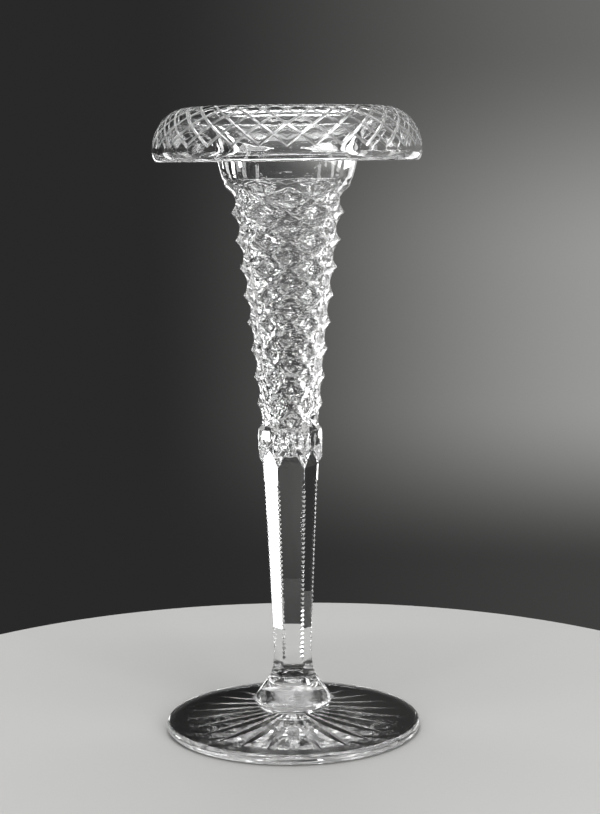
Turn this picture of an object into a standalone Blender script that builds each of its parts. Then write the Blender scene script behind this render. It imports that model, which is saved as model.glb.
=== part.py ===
"""Cut-glass posy vase on a fluted stem, with a turned-over rim and a star-cut foot.

Four gathers of clear glass, each its own object, stand on one another along the Z axis:
the star-cut foot, the foot knop, the fluted stem and the trumpet bowl.
Lengths are in metres, +Z is up and the origin is the middle of the underside.
Angles round the axis start at the front, -Y, and grow towards +X.
"""

import math

import bmesh
import bpy

# The pieces stand this far apart where the glass is fused.
JOINT_GAP = 0.0003

# Foot: a round disc that thickens towards its middle.
FOOT_DIAMETER = 0.1034
FOOT_EDGE_THICKNESS = 0.0038
FOOT_CENTRE_THICKNESS = 0.0085
FOOT_EDGE_ROUND = 0.0017
FOOT_SLOPE_PULLS = ((0.0109, -0.0026), (-0.0127, 0.0))

# Star cut into the underside of the foot.
STAR_RAYS = 24
STAR_DIAMETER = 0.086
STAR_HEART_DIAMETER = 0.015
STAR_RAY_WIDTH = 0.0046
STAR_RAY_POINT = 0.0190
STAR_DEPTH = 0.0010
STAR_RINGS = 6
STAR_RING_CROWDING = 1.6
STAR_RAY_SPREAD = 0.9

# Knop between foot and stem.
KNOP_DIAMETER = 0.0310
KNOP_HEIGHT = 0.0138
KNOP_SEAT_DIAMETER = 0.0272
KNOP_BELLY = 0.0031
KNOP_SHOULDER_PULLS = ((0.0, 0.0022), (0.0014, -0.0035))
KNOP_FLUTE_DROP = 0.0042

# Stem: six flat flutes that meet in notched edges.
FLUTES = 6
FLUTE_TURN = math.radians(1.0)
STEM_LENGTH = 0.0852
STEM_BASE_DIAMETER = 0.0175
STEM_WAIST_DIAMETER = 0.01444
STEM_TOP_DIAMETER = 0.0221
STEM_FLARE = 0.0130
STEM_END_STEPS = 4
NOTCH_PITCH = 0.0019
NOTCH_DEPTH = 0.0005
NOTCH_WIDTH = 0.0011
NOTCH_MARGIN = 0.0060

# Collar at the foot of the bowl, where the flutes run out.
COLLAR_DIAMETER = 0.0259
COLLAR_BASE_DIAMETER = 0.0247
COLLAR_TOP_DIAMETER = 0.0250
COLLAR_HEIGHT = 0.0147
COLLAR_SWELL = 0.0118
COLLAR_STEP = 0.0011
COLLAR_RINGS = 10
FLUTE_ARCH = 0.0062
FLUTE_ARCH_FADE = 0.0034

# Cut part of the bowl: hollow grooves that cross and leave pointed diamonds.
BOWL_DIAMONDS = 6
BOWL_ROWS = 8
BOWL_ROW_HEIGHT = 0.01084
BOWL_FOOT_MARGIN = 0.0046
BOWL_BASE_DIAMETER = 0.0252
BOWL_TOP_DIAMETER = 0.0466
BOWL_HOLLOWING = 0.0008
BOWL_GROOVE_SHARE = 0.115

# Plain neck above the cutting, into which the grooves run out.
NECK_HEIGHT = 0.0109
NECK_FLARE = 0.0015
GROOVE_END = 0.0080
GROOVE_RUN_OUT = 0.0055

# Turned-over rim.
RIM_DIAMETER = 0.1062
RIM_CROWN_DIAMETER = 0.0760
RIM_RISE = 0.0247
RIM_DROP = 0.0170
RIM_LIP_DROP = 0.0040
RIM_WALL = 0.0039
RIM_UNDER_PULLS = ((0.0022, 0.0087), (-0.0069, 0.0))
RIM_LIP_END = math.radians(-20.0)

# Narrow grooves that cross over the rim.
RIM_DIAMONDS = 32
RIM_ROWS = 5
RIM_CUT_START = math.radians(6.6)
RIM_GROOVE_WIDTH = 0.0012
RIM_GROOVE_DEPTH = 0.0006

# Hollow of the bowl.
HOLLOW_BASE_DIAMETER = 0.0094
HOLLOW_FLOOR = 0.0032
HOLLOW_ROUND = 0.0036
HOLLOW_ROUND_END = math.radians(-72.0)
HOLLOW_THROAT_WALL = 0.0058
HOLLOW_THROAT_PULLS = ((-0.0086, 0.0), (0.0020, 0.0111))
HOLLOW_NECK_PULL = 0.0050
HOLLOW_CUT_WALL = 0.0030
HOLLOW_RINGS = 3

# Columns of faces round each piece, steps along its curves, and the bend at which an edge is crisp.
FINE_COLUMNS = 2 * RIM_DIAMONDS
COARSE_COLUMNS = 36
FLUTE_COLUMNS = 8 * FLUTES
CUT_STEPS = 3
SHORT_STEPS = 4
ARC_STEPS = 6
CURVE_STEPS = 7
SHOULDER_STEPS = 12
CRISP_BEND = math.radians(16.0)

# Refraction of lead glass.
GLASS_IOR = 1.54

# Levels that follow from the sizes above.
KNOP_BASE = FOOT_CENTRE_THICKNESS + JOINT_GAP
KNOP_TOP = KNOP_BASE + KNOP_HEIGHT
STEM_BASE = KNOP_TOP + JOINT_GAP
STEM_TOP = STEM_BASE + STEM_LENGTH
BOWL_BASE = STEM_TOP + JOINT_GAP
COLLAR_TOP = BOWL_BASE + COLLAR_HEIGHT
CUT_BASE = COLLAR_TOP + BOWL_FOOT_MARGIN
CUT_TOP = CUT_BASE + BOWL_ROWS * BOWL_ROW_HEIGHT
NECK_TOP = CUT_TOP + NECK_HEIGHT
RIM_TOP = NECK_TOP + RIM_RISE
RIM_WIDEST = RIM_TOP - RIM_DROP

UPWARD = math.pi / 2
HALF_FLUTE = math.pi / FLUTES
CUT_TURN = FLUTE_TURN + HALF_FLUTE
STEM_BASE_RADIUS = STEM_BASE_DIAMETER / 2
STEM_TOP_RADIUS = STEM_TOP_DIAMETER / 2


def mix(a, b, share):
    """The value that lies the given share of the way from a to b."""
    return a + (b - a) * share


def eased(share):
    """A share from 0 to 1 that starts and ends gently, held at its limits."""
    held = min(1.0, max(0.0, share))
    return held * held * (3 - 2 * held)


def curve_run(start, end, pulls, steps, first=0):
    """Points of a smooth (radius, height) curve, with a pull from its start and one from its end."""
    second = (start[0] + pulls[0][0], start[1] + pulls[0][1])
    third = (end[0] + pulls[1][0], end[1] + pulls[1][1])
    points = []
    for i in range(first, steps + 1):
        share = i / steps
        rest = 1 - share
        weights = (rest ** 3, 3 * rest * rest * share, 3 * rest * share * share, share ** 3)
        corners = (start, second, third, end)
        points.append(tuple(sum(w * p[axis] for w, p in zip(weights, corners)) for axis in (0, 1)))
    return points


def arc_run(centre, radii, start, end, steps, first=0):
    """Points on an ellipse's arc, with its angles counted from outward to up."""
    points = []
    for i in range(first, steps + 1):
        angle = mix(start, end, i / steps)
        points.append((centre[0] + radii[0] * math.cos(angle), centre[1] + radii[1] * math.sin(angle)))
    return points


def placed(bm, angle, radius, height):
    """A vertex at an angle round the axis."""
    return bm.verts.new((radius * math.sin(angle), -radius * math.cos(angle), height))


def from_flute_middle(angle):
    """How far an angle lies from the middle of its nearest flute."""
    step = 2 * HALF_FLUTE
    return (angle - FLUTE_TURN + HALF_FLUTE) % step - HALF_FLUTE


def fluted(angle, round_radius, flat_radius):
    """Radius of a round section whose sides are cut flat by the flutes."""
    return min(round_radius, flat_radius / math.cos(from_flute_middle(angle)))


def ring(bm, columns, turn, place):
    """One ring of vertices, as (angle, vertex) pairs; place gives (radius, height) for each."""
    pairs = []
    for i in range(columns):
        angle = turn + 2 * math.pi * i / columns
        radius, height = place(angle)
        pairs.append((angle, placed(bm, angle, radius, height)))
    return pairs


def turned_rings(bm, columns, points, turn=0.0):
    """A plain round ring for each (radius, height) point."""
    return [ring(bm, columns, turn, lambda angle, point=point: point) for point in points]


def stitch(bm, first, second):
    """Faces between two rings, which may have different numbers of vertices."""
    if len(first) == len(second):
        for i, (angle, vert) in enumerate(first):
            j = (i + 1) % len(first)
            bm.faces.new((vert, first[j][1], second[j][1], second[i][1]))
        return
    full = 2 * math.pi
    start = first[0][0]
    second = [((angle - start) % full + start, vert) for angle, vert in second]
    second.sort(key=lambda pair: pair[0])
    i = 0
    j = 0
    while i < len(first) or j < len(second):
        next_first = first[(i + 1) % len(first)][0] + full * ((i + 1) // len(first))
        next_second = second[(j + 1) % len(second)][0] + full * ((j + 1) // len(second))
        a = first[i % len(first)][1]
        b = second[j % len(second)][1]
        if j >= len(second) or (i < len(first) and next_first <= next_second):
            bm.faces.new((a, first[(i + 1) % len(first)][1], b))
            i += 1
        else:
            bm.faces.new((a, second[(j + 1) % len(second)][1], b))
            j += 1


def stitch_all(bm, rings):
    """Faces between each ring and the next."""
    for first, second in zip(rings, rings[1:]):
        stitch(bm, first, second)


def stitch_diamonds(bm, first, second, row, steps):
    """Faces between two rings of a diamond cut, split along the groove that runs there."""
    count = len(first)
    for i in range(count):
        j = (i + 1) % count
        a, b, c, d = first[i][1], first[j][1], second[j][1], second[i][1]
        if (i // steps + row // steps) % 2:
            bm.faces.new((a, b, d))
            bm.faces.new((b, c, d))
        else:
            bm.faces.new((a, b, c))
            bm.faces.new((a, c, d))


def cap(bm, pairs):
    """A flat face that closes a ring."""
    bm.faces.new([vert for angle, vert in pairs])


def point_cap(bm, pairs, height):
    """A fan of faces from a ring to a point on the axis."""
    tip = bm.verts.new((0, 0, height))
    for i, (angle, vert) in enumerate(pairs):
        bm.faces.new((vert, pairs[(i + 1) % len(pairs)][1], tip))


def glass(name, colour, roughness):
    """Clear glass with a faint tint."""
    material = bpy.data.materials.new(name)
    material.use_nodes = True
    shader = material.node_tree.nodes["Principled BSDF"]
    shader.inputs["Base Color"].default_value = (*colour, 1)
    shader.inputs["Roughness"].default_value = roughness
    shader.inputs["Metallic"].default_value = 0
    shader.inputs["IOR"].default_value = GLASS_IOR
    shader.inputs["Transmission Weight"].default_value = 1
    return material


def finish(bm, name, material):
    """Turn the finished mesh into an object with smooth rounds and crisp cuts."""
    bmesh.ops.recalc_face_normals(bm, faces=bm.faces)
    mesh = bpy.data.meshes.new(name)
    bm.to_mesh(mesh)
    bm.free()
    mesh.shade_smooth()
    mesh.set_sharp_from_angle(angle=CRISP_BEND)
    mesh.materials.append(material)
    piece = bpy.data.objects.new(name, mesh)
    bpy.context.collection.objects.link(piece)
    return piece


def star_rings(bm):
    """Rings of the star's grooves, from the rim of the star to its heart."""
    half_pitch = math.pi / STAR_RAYS
    rim = STAR_DIAMETER / 2
    heart = STAR_HEART_DIAMETER / 2
    flank = 2 * STAR_DEPTH / STAR_RAY_WIDTH
    rings = []
    for number in range(1, STAR_RINGS + 1):
        radius = mix(rim, heart, (number / STAR_RINGS) ** STAR_RING_CROWDING)
        taper = math.sin(UPWARD * min(1.0, (rim - radius) / STAR_RAY_POINT))
        edge = min(STAR_RAY_WIDTH * taper / 2 / radius, half_pitch * STAR_RAY_SPREAD)
        depth = STAR_DEPTH * taper
        crowded = max(0.0, depth - flank * half_pitch * radius)
        pairs = []
        for ray in range(STAR_RAYS):
            middle = 2 * half_pitch * ray
            for offset in (0.0, edge, half_pitch, 2 * half_pitch - edge):
                height = crowded if offset else depth
                pairs.append((middle + offset, placed(bm, middle + offset, radius, height)))
        rings.append(pairs)
    return rings


def make_foot(material):
    """Round foot, thin at its edge, with the star cut into its underside."""
    bm = bmesh.new()
    radius = FOOT_DIAMETER / 2
    seat = KNOP_SEAT_DIAMETER / 2
    middle = FOOT_EDGE_THICKNESS / 2
    inset = radius - FOOT_EDGE_ROUND
    slope = curve_run((seat, FOOT_CENTRE_THICKNESS), (inset, FOOT_EDGE_THICKNESS), FOOT_SLOPE_PULLS,
                      CURVE_STEPS)
    edge = arc_run((inset, middle), (FOOT_EDGE_ROUND, middle), UPWARD, -UPWARD, ARC_STEPS, 1)
    top = turned_rings(bm, FINE_COLUMNS, slope + edge)
    star = star_rings(bm)
    border = turned_rings(bm, 2 * STAR_RAYS, [(STAR_DIAMETER / 2, 0.0)])
    stitch_all(bm, top + border + star)
    cap(bm, top[0])
    point_cap(bm, star[-1], STAR_DEPTH)
    return finish(bm, "star_cut_foot", material)


def make_knop(material):
    """Rounded knop whose shoulder takes the lower ends of the flutes."""
    bm = bmesh.new()
    seat = KNOP_SEAT_DIAMETER / 2
    widest = KNOP_DIAMETER / 2
    belly = KNOP_BASE + KNOP_BELLY
    under = arc_run((seat, belly), (widest - seat, KNOP_BELLY), -UPWARD, 0, SHORT_STEPS)
    shoulder = curve_run((widest, belly), (STEM_BASE_RADIUS, KNOP_TOP), KNOP_SHOULDER_PULLS,
                         SHOULDER_STEPS, 1)
    flat_top = STEM_BASE_RADIUS * math.cos(HALF_FLUTE)
    slope = 3 * (STEM_BASE_RADIUS - STEM_WAIST_DIAMETER / 2) / STEM_FLARE * math.cos(HALF_FLUTE)
    bow = (widest - flat_top - slope * KNOP_FLUTE_DROP) / KNOP_FLUTE_DROP ** 2

    def section(point):
        drop = KNOP_TOP - point[1]
        flat = flat_top + slope * drop + bow * drop * drop
        return lambda angle: (fluted(angle, point[0], flat), point[1])

    rings = [ring(bm, FLUTE_COLUMNS, FLUTE_TURN, section(point)) for point in under + shoulder]
    stitch_all(bm, rings)
    cap(bm, rings[0])
    cap(bm, rings[-1])
    return finish(bm, "foot_knop", material)


def stem_radius(level):
    """Radius over the stem's edges at a level above its base."""
    straight = mix(STEM_WAIST_DIAMETER / 2, STEM_TOP_RADIUS, level / STEM_LENGTH)
    flare = STEM_BASE_RADIUS - STEM_WAIST_DIAMETER / 2
    return straight + flare * max(0.0, 1 - level / STEM_FLARE) ** 3


def stem_levels():
    """Levels of the stem's rings as (level, notched) pairs, with plain lengths at both ends."""
    notches = int((STEM_LENGTH - 2 * NOTCH_MARGIN) / NOTCH_PITCH)
    plain = (STEM_LENGTH - notches * NOTCH_PITCH) / 2
    levels = [(plain * i / STEM_END_STEPS, False) for i in range(STEM_END_STEPS)]
    levels += [(plain + NOTCH_PITCH / 2 * i, i % 2 == 1) for i in range(2 * notches + 1)]
    levels += [(STEM_LENGTH - plain * i / STEM_END_STEPS, False) for i in reversed(range(STEM_END_STEPS))]
    return levels


def stitch_notches(bm, first, second, dips_above):
    """Faces beside a row of notches, split so that each notch meets the edge in a point."""
    count = len(first)
    for i in range(count):
        j = (i + 1) % count
        a, b, c, d = first[i][1], first[j][1], second[j][1], second[i][1]
        after_edge = i % 3 == 2
        if i % 3 == 0:
            bm.faces.new((a, b, c, d))
        elif after_edge == dips_above:
            bm.faces.new((a, c, d))
            bm.faces.new((a, b, c))
        else:
            bm.faces.new((a, b, d))
            bm.faces.new((b, c, d))


def make_stem(material):
    """Six-sided stem with a row of small notches down each edge."""
    bm = bmesh.new()
    rings = []
    levels = stem_levels()
    for level, notched in levels:
        edge = stem_radius(level)
        flat = edge * math.cos(HALF_FLUTE)
        shoulder = HALF_FLUTE - NOTCH_WIDTH / edge
        corner = edge - NOTCH_DEPTH if notched else edge
        pairs = []
        for flute in range(FLUTES):
            middle = FLUTE_TURN + 2 * HALF_FLUTE * flute
            for offset in (-shoulder, shoulder, HALF_FLUTE):
                radius = corner if offset == HALF_FLUTE else flat / math.cos(offset)
                pairs.append((middle + offset, placed(bm, middle + offset, radius, STEM_BASE + level)))
        rings.append(pairs)
    for number, (first, second) in enumerate(zip(rings, rings[1:])):
        if levels[number][1] or levels[number + 1][1]:
            stitch_notches(bm, first, second, levels[number + 1][1])
        else:
            stitch(bm, first, second)
    cap(bm, rings[0])
    cap(bm, rings[-1])
    return finish(bm, "fluted_stem", material)


def collar_side(level):
    """Radius of the collar before the flutes are cut, at a level above its base."""
    widest = COLLAR_DIAMETER / 2
    if level < COLLAR_SWELL:
        return mix(COLLAR_BASE_DIAMETER / 2, widest, math.sin(UPWARD * level / COLLAR_SWELL))
    above = (level - COLLAR_SWELL) / (COLLAR_HEIGHT - COLLAR_SWELL)
    return mix(widest, COLLAR_TOP_DIAMETER / 2, above * above)


def collar_radius(angle, level):
    """Radius of the collar, with each flute of the stem ending in an arch up its side."""
    aside = from_flute_middle(angle)
    flat = STEM_TOP_RADIUS * math.cos(HALF_FLUTE) / math.cos(aside)
    arch = FLUTE_ARCH * (1 - (aside / HALF_FLUTE) ** 2)
    return mix(flat, collar_side(level), eased((level - arch) / FLUTE_ARCH_FADE))


def collar_rings(bm):
    """Rings of the collar, from its base to its top."""
    rings = []
    for number in range(COLLAR_RINGS + 1):
        level = COLLAR_HEIGHT * number / COLLAR_RINGS
        rings.append(ring(bm, FLUTE_COLUMNS, CUT_TURN,
                          lambda angle: (collar_radius(angle, level), BOWL_BASE + level)))
    return rings


def tip_radius(level):
    """Radius over the diamonds' tips, and of the neck, at a level above the base of the cutting."""
    share = level / (CUT_TOP - CUT_BASE)
    straight = mix(BOWL_BASE_DIAMETER / 2, BOWL_TOP_DIAMETER / 2, share)
    above = max(0.0, level - (CUT_TOP - CUT_BASE)) / NECK_HEIGHT
    return straight - BOWL_HOLLOWING * 4 * share * (1 - share) + NECK_FLARE * above


def hollow_groove(turns):
    """Depth of a hollow groove, from 0 on the ridges at whole turns to 1 midway."""
    across = 2 * (turns % 1.0) - 1
    return 1 - across * across


def bowl_radius(angle, level):
    """Radius of the bowl's outside with both sets of slanting grooves cut into it."""
    radius = tip_radius(level)
    column = BOWL_DIAMONDS * (angle - CUT_TURN) / (2 * math.pi)
    row = level / BOWL_ROW_HEIGHT + 0.5
    groove = max(hollow_groove(column + row), hollow_groove(column - row))
    left = (CUT_TOP - CUT_BASE + GROOVE_END - level) / GROOVE_RUN_OUT
    run_out = min(1.0, max(0.0, left))
    return radius * (1 - BOWL_GROOVE_SHARE * groove * run_out)


def bowl_cut(bm):
    """The bowl's cut outside and the neck, as rings from the collar to the neck's top."""
    step = BOWL_ROW_HEIGHT / 2 / CUT_STEPS
    rows = 2 * BOWL_ROWS * CUT_STEPS
    neck_steps = 2 * CUT_STEPS
    foot_level = COLLAR_STEP - BOWL_FOOT_MARGIN
    levels = [foot_level, foot_level / 2]
    levels += [step * row for row in range(rows + 1)]
    levels += [rows * step + NECK_HEIGHT * i / neck_steps for i in range(1, neck_steps + 1)]
    rings = []
    for level in levels:
        rings.append(ring(bm, 2 * BOWL_DIAMONDS * CUT_STEPS, CUT_TURN,
                          lambda angle: (bowl_radius(angle, level), CUT_BASE + level)))
    for number, (first, second) in enumerate(zip(rings, rings[1:])):
        stitch_diamonds(bm, first, second, number - 2, CUT_STEPS)
    return rings


def rim_vert(bm, column, row, depth=0.0):
    """A vertex of the rim's outside, by half column and row of its grooves' crossings."""
    lift = mix(RIM_CUT_START, UPWARD, row / (RIM_ROWS + 1))
    crown = RIM_CROWN_DIAMETER / 2
    across = RIM_DIAMETER / 2 - crown
    normal_r = math.cos(lift) / across
    normal_z = math.sin(lift) / RIM_DROP
    inward = depth / math.hypot(normal_r, normal_z)
    radius = crown + across * math.cos(lift) - inward * normal_r
    height = RIM_WIDEST + RIM_DROP * math.sin(lift) - inward * normal_z
    angle = math.pi * column / RIM_DIAMONDS
    return angle, placed(bm, angle, radius, height)


def rim_inset():
    """Share of each half diamond of the rim that a groove takes, measured along its diagonals."""
    row_length = UPWARD * (RIM_DIAMETER - RIM_CROWN_DIAMETER) / 2 / (RIM_ROWS + 1)
    column_length = math.pi * RIM_DIAMETER / FINE_COLUMNS
    slant = math.hypot(row_length, column_length)
    return RIM_GROOVE_WIDTH / 2 * slant / (row_length * column_length)


def rim_cut(bm):
    """Narrow grooves that cross over the rim, and the plain diamonds left between them."""
    inset = rim_inset()
    reach = 1 - inset
    crossings = {}
    for row in range(RIM_ROWS + 2):
        for column in range(row % 2, FINE_COLUMNS, 2):
            crossings[column, row] = rim_vert(bm, column, row, RIM_GROOVE_DEPTH)[1]
    for row in range(1, RIM_ROWS + 1):
        for column in range((row + 1) % 2, FINE_COLUMNS, 2):
            around = ((-1, 0), (0, -1), (1, 0), (0, 1))
            outer = [crossings[(column + x) % FINE_COLUMNS, row + y] for x, y in around]
            inner = [rim_vert(bm, column + x * reach, row + y * reach)[1] for x, y in around]
            middle = rim_vert(bm, column, row)[1]
            for i in range(4):
                j = (i + 1) % 4
                bm.faces.new((outer[i], outer[j], inner[j], inner[i]))
                bm.faces.new((inner[i], inner[j], middle))
    lower = rim_cut_end(bm, crossings, 0, 1, inset)
    upper = rim_cut_end(bm, crossings, RIM_ROWS + 1, -1, inset)
    return lower, upper


def rim_cut_end(bm, crossings, row, inward, inset):
    """The zigzag border of the plain band at one end of the rim's grooves."""
    border = []
    for column in range(FINE_COLUMNS):
        steps = -inset if (column, row) in crossings else 1 - inset
        border.append(rim_vert(bm, column, row + inward * steps))
    for column in range((row + 1) % 2, FINE_COLUMNS, 2):
        corner = crossings[column, row + inward]
        for beside in ((column - 1) % FINE_COLUMNS, (column + 1) % FINE_COLUMNS):
            bm.faces.new((crossings[beside, row], corner, border[column][1], border[beside][1]))
    return border


def make_bowl(material):
    """Trumpet bowl: collar, diamond cutting, plain neck, turned-over rim and hollow."""
    bm = bmesh.new()
    collar = collar_rings(bm)
    cut = bowl_cut(bm)
    stitch_all(bm, collar + cut[:1])
    cap(bm, collar[0])

    crown = RIM_CROWN_DIAMETER / 2
    neck = tip_radius(NECK_TOP - CUT_BASE)
    ceiling = RIM_TOP - RIM_WALL
    across = RIM_DIAMETER / 2 - crown
    lip_middle = RIM_DIAMETER / 2 - RIM_WALL / 2
    under = curve_run((neck, NECK_TOP), (crown, ceiling), RIM_UNDER_PULLS, CURVE_STEPS, 1)
    under += arc_run((crown, RIM_WIDEST), (across - RIM_WALL, RIM_DROP - RIM_WALL), UPWARD, 0,
                     ARC_STEPS, 1)
    lip = arc_run((lip_middle, RIM_WIDEST), (RIM_WALL / 2, RIM_LIP_DROP), -math.pi, RIM_LIP_END,
                  CURVE_STEPS, 1)
    edge = turned_rings(bm, FINE_COLUMNS, lip)
    stitch_all(bm, cut[-1:] + turned_rings(bm, len(cut[-1]), under, CUT_TURN) + edge)
    lower, upper = rim_cut(bm)
    stitch(bm, edge[-1], lower)

    inside = turned_rings(bm, COARSE_COLUMNS, hollow_points(neck, crown))
    stitch_all(bm, [upper] + inside)
    point_cap(bm, inside[-1], BOWL_BASE + HOLLOW_FLOOR)
    return finish(bm, "trumpet_bowl", material)


def hollow_points(neck, crown):
    """Profile of the hollow, from the rim's crown down the throat to its rounded floor."""
    throat = neck - HOLLOW_THROAT_WALL
    cut_top = BOWL_TOP_DIAMETER / 2 * (1 - BOWL_GROOVE_SHARE) - HOLLOW_CUT_WALL
    base = HOLLOW_BASE_DIAMETER / 2
    round_top = BOWL_BASE + HOLLOW_FLOOR + HOLLOW_ROUND
    lean = (cut_top - base) / (CUT_TOP - round_top)
    throat_lean = HOLLOW_THROAT_PULLS[1][0] / HOLLOW_THROAT_PULLS[1][1]
    neck_pulls = ((-throat_lean * HOLLOW_NECK_PULL, -HOLLOW_NECK_PULL),
                  (lean * HOLLOW_NECK_PULL, HOLLOW_NECK_PULL))
    points = curve_run((crown, RIM_TOP), (throat, NECK_TOP), HOLLOW_THROAT_PULLS,
                       CURVE_STEPS, 1)
    points += curve_run((throat, NECK_TOP), (cut_top, CUT_TOP), neck_pulls, SHORT_STEPS, 1)
    for number in range(1, HOLLOW_RINGS + 1):
        share = number / HOLLOW_RINGS
        points.append((mix(cut_top, base, share), mix(CUT_TOP, round_top, share)))
    points += arc_run((0.0, round_top), (base, HOLLOW_ROUND), 0, HOLLOW_ROUND_END,
                      SHORT_STEPS, 1)
    return points


def main():
    for old in list(bpy.data.objects):
        bpy.data.objects.remove(old, do_unlink=True)
    make_foot(glass("foot_glass", (0.95, 0.97, 0.97), 0.04))
    make_knop(glass("knop_glass", (0.95, 0.97, 0.97), 0.03))
    make_stem(glass("stem_glass", (0.96, 0.97, 0.97), 0.03))
    make_bowl(glass("bowl_glass", (0.97, 0.98, 0.98), 0.02))


main()
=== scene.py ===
"""Cut-glass posy vase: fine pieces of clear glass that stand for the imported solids, in a plain studio.

Lengths are in metres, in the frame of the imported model: +Z is up and -Y is the front.
Angles round the vase start at the front and grow towards +X.
"""

import math

import bmesh
import bpy
from mathutils import Euler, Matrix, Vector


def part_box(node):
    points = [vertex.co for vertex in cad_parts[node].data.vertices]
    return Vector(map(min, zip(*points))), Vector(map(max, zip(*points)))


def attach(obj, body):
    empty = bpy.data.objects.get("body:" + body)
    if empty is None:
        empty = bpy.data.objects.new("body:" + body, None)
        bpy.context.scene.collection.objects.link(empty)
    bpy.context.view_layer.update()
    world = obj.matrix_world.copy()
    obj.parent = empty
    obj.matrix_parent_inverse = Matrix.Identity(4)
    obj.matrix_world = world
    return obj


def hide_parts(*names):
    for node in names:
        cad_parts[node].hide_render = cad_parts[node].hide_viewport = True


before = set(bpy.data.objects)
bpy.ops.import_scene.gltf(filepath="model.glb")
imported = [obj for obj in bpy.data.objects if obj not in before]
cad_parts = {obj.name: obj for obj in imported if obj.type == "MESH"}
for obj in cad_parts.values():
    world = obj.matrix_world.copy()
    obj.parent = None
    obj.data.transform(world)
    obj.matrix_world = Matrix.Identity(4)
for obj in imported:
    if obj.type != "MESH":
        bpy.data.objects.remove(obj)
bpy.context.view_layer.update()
BODY = "root"

FULL_TURN = 2 * math.pi
QUARTER_TURN = math.pi / 2

# Foot.
FOOT_EDGE_THICKNESS = 0.0038
FOOT_EDGE_ROUND = 0.0017
FOOT_SLOPE_PULLS = ((0.0109, -0.0026), (-0.0127, 0.0))

# Star under the foot. On a ring, each ray has its bottom, its edge, the ridge and the next ray's edge.
STAR_RAYS = 24
STAR_RAY_POINTS = 4
STAR_DIAMETER = 0.086
STAR_HEART_DIAMETER = 0.006
STAR_RAY_WIDTH = 0.0046
STAR_RAY_POINT = 0.0190
STAR_DEPTH = 0.0010
STAR_EDGE_LIMIT = 0.96
STAR_RINGS = 26

# Knop.
KNOP_SEAT_DIAMETER = 0.0272
KNOP_BELLY = 0.0031
KNOP_SHOULDER_PULLS = ((0.0, 0.0022), (0.0014, -0.0035))
KNOP_FLUTE_DROP = 0.0042

# Stem. On a ring, each flute has its two shoulders and the edge after it.
FLUTES = 6
FLUTE_POINTS = 3
FLUTE_TURN = math.radians(1.0)
STEM_BASE_DIAMETER = 0.0175
STEM_WAIST_DIAMETER = 0.01444
STEM_TOP_DIAMETER = 0.0221
STEM_FLARE = 0.0130
STEM_FLARE_POWER = 3
STEM_END_STEPS = 8
NOTCH_PITCH = 0.0019
NOTCH_WIDTH = 0.0010
NOTCH_MARGIN = 0.0060

# Collar at the foot of the bowl.
COLLAR_DIAMETER = 0.0259
COLLAR_BASE_DIAMETER = 0.0247
COLLAR_TOP_DIAMETER = 0.0250
COLLAR_HEIGHT = 0.0147
COLLAR_SWELL = 0.0118
COLLAR_STEP = 0.0011
COLLAR_RINGS = 36
FLUTE_ARCH = 0.0062
FLUTE_ARCH_FADE = 0.0034

# Hollow grooves that cross round the bowl. The count of rows starts at a half, at the base of the cutting.
BOWL_DIAMONDS = 6
BOWL_ROWS = 8
BOWL_FIRST_ROW = 0.5
BOWL_ROW_HEIGHT = 0.01084
BOWL_FOOT_MARGIN = 0.0046
BOWL_BASE_DIAMETER = 0.0252
BOWL_TOP_DIAMETER = 0.0466
BOWL_HOLLOWING = 0.0008
BOWL_GROOVE_SHARE = 0.115
BOWL_GROOVE_POWER = 2.0
NECK_HEIGHT = 0.0109
NECK_FLARE = 0.0015
GROOVE_END = 0.0080
GROOVE_RUN_OUT = 0.0055
CUT_STEPS = 10

# Turned-over rim and its narrow grooves. The plain bands reach some rows past the first and last crossings.
RIM_CROWN_DIAMETER = 0.0760
RIM_DROP = 0.0170
RIM_LIP_DROP = 0.0040
RIM_WALL = 0.0039
RIM_UNDER_PULLS = ((0.0022, 0.0087), (-0.0069, 0.0))
RIM_LIP_END = math.radians(-20.0)
RIM_DIAMONDS = 32
RIM_ROWS = 5
RIM_CUT_START = math.radians(6.6)
RIM_GROOVE_WIDTH = 0.0012
RIM_GROOVE_DEPTH = 0.0006
RIM_CELL_STEPS = 4
RIM_BAND_BELOW = 0.65
RIM_BAND_ABOVE = 0.3
RIM_BAND_STEPS = 6
SHARED_POINT_DIGITS = 5

# Hollow of the bowl.
HOLLOW_BASE_DIAMETER = 0.0094
HOLLOW_FLOOR = 0.0032
HOLLOW_ROUND = 0.0036
HOLLOW_THROAT_WALL = 0.0058
HOLLOW_THROAT_PULLS = ((-0.0086, 0.0), (0.0020, 0.0111))
HOLLOW_NECK_PULL = 0.0050
HOLLOW_CUT_WALL = 0.0030
HOLLOW_ROUND_END = math.radians(-80.0)
HOLLOW_RINGS = 24
RIPPLE_RISE = 0.0030

# Columns and steps of the smooth surfaces, and the bend at which an edge is crisp.
ROUND_COLUMNS = 192
HOLLOW_COLUMNS = 120
SHORT_STEPS = 12
LONG_STEPS = 28
CRISP_BEND = math.radians(20.0)

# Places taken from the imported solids. A joint lies midway in the gap between two of them.
FOOT_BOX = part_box("star_cut_foot")
KNOP_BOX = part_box("foot_knop")
STEM_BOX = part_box("fluted_stem")
BOWL_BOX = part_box("trumpet_bowl")
FOOT_RADIUS = FOOT_BOX[1].x
KNOP_RADIUS = KNOP_BOX[1].x
RIM_RADIUS = -BOWL_BOX[0].y
KNOP_BASE = (FOOT_BOX[1].z + KNOP_BOX[0].z) / 2
STEM_BASE = (KNOP_BOX[1].z + STEM_BOX[0].z) / 2
BOWL_BASE = (STEM_BOX[1].z + BOWL_BOX[0].z) / 2
RIM_TOP = BOWL_BOX[1].z

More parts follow.
